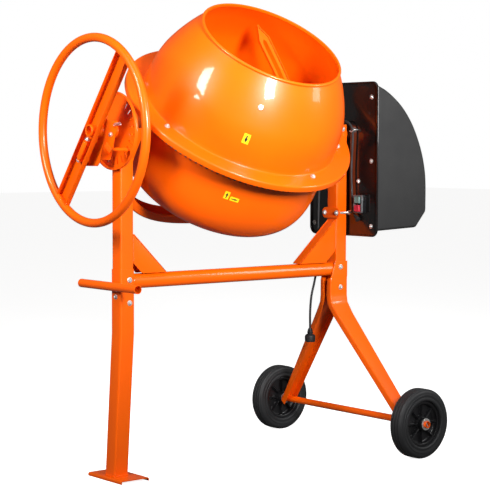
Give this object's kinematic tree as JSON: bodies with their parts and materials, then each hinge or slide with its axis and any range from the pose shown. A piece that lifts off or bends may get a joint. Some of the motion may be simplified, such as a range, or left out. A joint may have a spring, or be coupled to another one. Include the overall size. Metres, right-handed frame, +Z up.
{
  "type": "concrete mixer",
  "caption": "Upright tilting drum mixer with a handwheel on one side, a covered electric drive on the other and two transport wheels.",
  "frame": {"origin": "bottom centre of the box around the mixer, on the floor", "axes": "+Z up; X along the crossbar with the handwheel at -X and the motor at +X; Y across, with the drum mouth leaning to -Y"},
  "size_m": [1.3438, 0.822, 1.5462],
  "materials": {
    "orange_paint": "glossy powder coat",
    "zinc_steel": "zinc plated",
    "cast_iron": "dark, machined edges",
    "black_rubber": "matt",
    "tyre_rubber": "matt, ribbed",
    "black_plastic": "fine grain",
    "panel_black": "gloss",
    "motor_grey": "satin",
    "start_green": "satin",
    "stop_red": "gloss"
  },
  "bodies": {
    "base": {"left_upright": "orange_paint", "left_leg": "orange_paint", "foot_plate": "orange_paint", "transport_handle": "orange_paint", "crossbar": "orange_paint", "left_gusset": "orange_paint", "right_gusset": "orange_paint", "right_upright": "orange_paint", "near_axle_leg": "orange_paint", "far_axle_leg": "orange_paint", "axle": "orange_paint", "near_washer": "zinc_steel", "far_washer": "zinc_steel", "near_cotter_pin": "zinc_steel", "far_cotter_pin": "zinc_steel", "sleeve_bolt_upper": "zinc_steel", "sleeve_bolt_lower": "zinc_steel", "leg_bolt_upper": "zinc_steel", "leg_bolt_lower": "zinc_steel", "left_pivot_bush": "orange_paint", "right_pivot_bush": "orange_paint", "lock_disc": "orange_paint", "motor_bracket": "zinc_steel", "motor_body": "motor_grey", "back_panel": "panel_black", "motor_cover": "black_plastic", "clamp_plate": "orange_paint", "clamp_bolt_near": "zinc_steel", "clamp_bolt_far": "zinc_steel", "switch_box": "black_plastic", "cable_gland": "black_plastic", "power_cord": "black_rubber", "power_plug": "black_plastic", "drive_belt": "black_rubber"},
    "yoke": {"yoke": "orange_paint", "yoke_stub": "zinc_steel", "spindle_bearing": "zinc_steel", "tilt_shaft": "orange_paint", "hub_bracket": "orange_paint", "hinge_bolt": "zinc_steel"},
    "handwheel": {"handwheel_rim": "orange_paint", "handwheel_spoke": "orange_paint", "hinge_barrel": "orange_paint", "lock_tooth": "orange_paint"},
    "drum": {"drum_upper": "orange_paint", "drum_lower": "orange_paint", "ring_gear": "cast_iron", "drum_spindle": "zinc_steel", "blade_one": "orange_paint", "blade_two": "orange_paint"},
    "drive_shaft": {"pinion_shaft": "zinc_steel", "pinion": "cast_iron", "large_pulley": "cast_iron"},
    "motor_rotor": {"motor_pulley": "cast_iron"},
    "near_wheel": {"near_tyre": "tyre_rubber", "near_wheel_rim": "black_plastic"},
    "far_wheel": {"far_tyre": "tyre_rubber", "far_wheel_rim": "black_plastic"},
    "start_key": {"start_button": "start_green"},
    "stop_key": {"stop_button": "stop_red"}
  },
  "joints": [
    {"name": "drum_tilt", "type": "hinge", "parent": "base", "child": "yoke", "pos_m": [-0.092, 0, 1.116], "axis": [1, 0, 0], "range_deg": [-30, 90]},
    {"name": "handwheel_rock", "type": "hinge", "parent": "yoke", "child": "handwheel", "pos_m": [-0.661, 0, 1.116], "axis": [0, -0.6074, 0.7944], "range_deg": [-3, 2.6]},
    {"name": "drum_spin", "type": "hinge", "parent": "yoke", "child": "drum", "pos_m": [-0.092, 0, 1.116], "axis": [0, -0.5835, 0.8121], "continuous": true},
    {"name": "drive_shaft_spin", "type": "hinge", "parent": "yoke", "child": "drive_shaft", "pos_m": [0.3, 0, 1.116], "axis": [1, 0, 0], "continuous": true},
    {"name": "motor_spin", "type": "hinge", "parent": "base", "child": "motor_rotor", "pos_m": [0.452, 0, 0.885], "axis": [1, 0, 0], "continuous": true},
    {"name": "near_wheel_spin", "type": "hinge", "parent": "base", "child": "near_wheel", "pos_m": [0.438, -0.369, 0.12], "axis": [0, 1, 0], "continuous": true},
    {"name": "far_wheel_spin", "type": "hinge", "parent": "base", "child": "far_wheel", "pos_m": [0.438, 0.369, 0.12], "axis": [0, 1, 0], "continuous": true},
    {"name": "start_press", "type": "slide", "parent": "base", "child": "start_key", "axis": [1, 0, 0], "range_m": [0, 0.003], "stiffness_N_per_m": 400},
    {"name": "stop_press", "type": "slide", "parent": "base", "child": "stop_key", "axis": [1, 0, 0], "range_m": [0, 0.003], "stiffness_N_per_m": 400}
  ],
  "couplings": [
    {"joint": "drive_shaft_spin", "follows": "drum_spin", "ratio": -10.529},
    {"joint": "motor_spin", "follows": "drum_spin", "ratio": -41.676}
  ]
}
